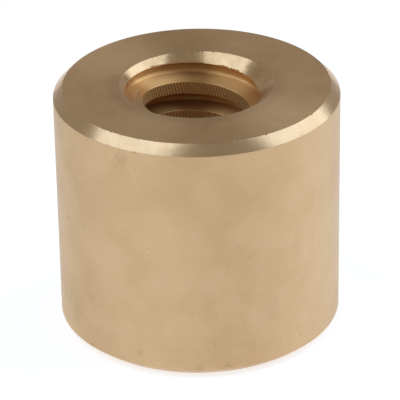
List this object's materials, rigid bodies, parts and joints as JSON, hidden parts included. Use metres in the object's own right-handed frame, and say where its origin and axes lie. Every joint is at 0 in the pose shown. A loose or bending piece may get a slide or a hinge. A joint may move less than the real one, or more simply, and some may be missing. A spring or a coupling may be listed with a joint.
{
  "type": "lead screw nut",
  "caption": "Plain round bronze nut for a trapezoidal lead screw: a turned cylinder with bevelled edges and a right-hand internal thread along its axis.",
  "frame": {"origin": "on the bore axis, in the plane of the lower end face", "axes": "+Z along the bore axis, out of the lower face and through the body to the upper face; a thread ridge centre lies 0.23 mm above the lower face on the +Y side"},
  "size_m": [0.045, 0.045, 0.04],
  "materials": {
    "bronze": "fine-turned bronze, satin, lightly blotched, with cut thread surfaces"
  },
  "bodies": {
    "root": {"nut": "bronze"}
  },
  "joints": []
}
